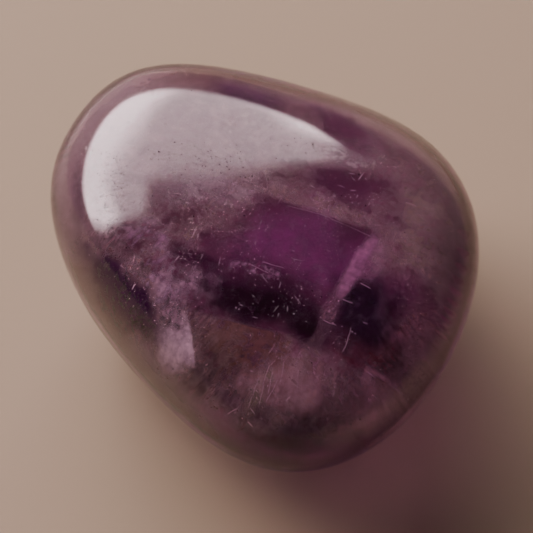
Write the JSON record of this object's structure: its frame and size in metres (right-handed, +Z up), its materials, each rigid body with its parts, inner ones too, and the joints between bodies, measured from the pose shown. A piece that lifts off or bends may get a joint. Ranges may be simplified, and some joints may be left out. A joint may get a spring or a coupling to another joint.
{
  "type": "tumbled amethyst",
  "caption": "Smooth tumbled pebble of see-through purple quartz with cloudy veils and darker zones, for display or handling. It lies on its worn underside.",
  "frame": {"origin": "middle of the stone's outline seen from above, on the surface it rests on", "axes": "+Z up, along the stone's shortest way; +X towards its broad right end, +Y towards its broad back, with the narrow end towards -Y"},
  "size_m": [0.028, 0.0304, 0.0168],
  "materials": {
    "amethyst": "polished see-through purple quartz with cloudy zones"
  },
  "bodies": {
    "root": {"tumbled_amethyst": "amethyst"}
  },
  "joints": []
}
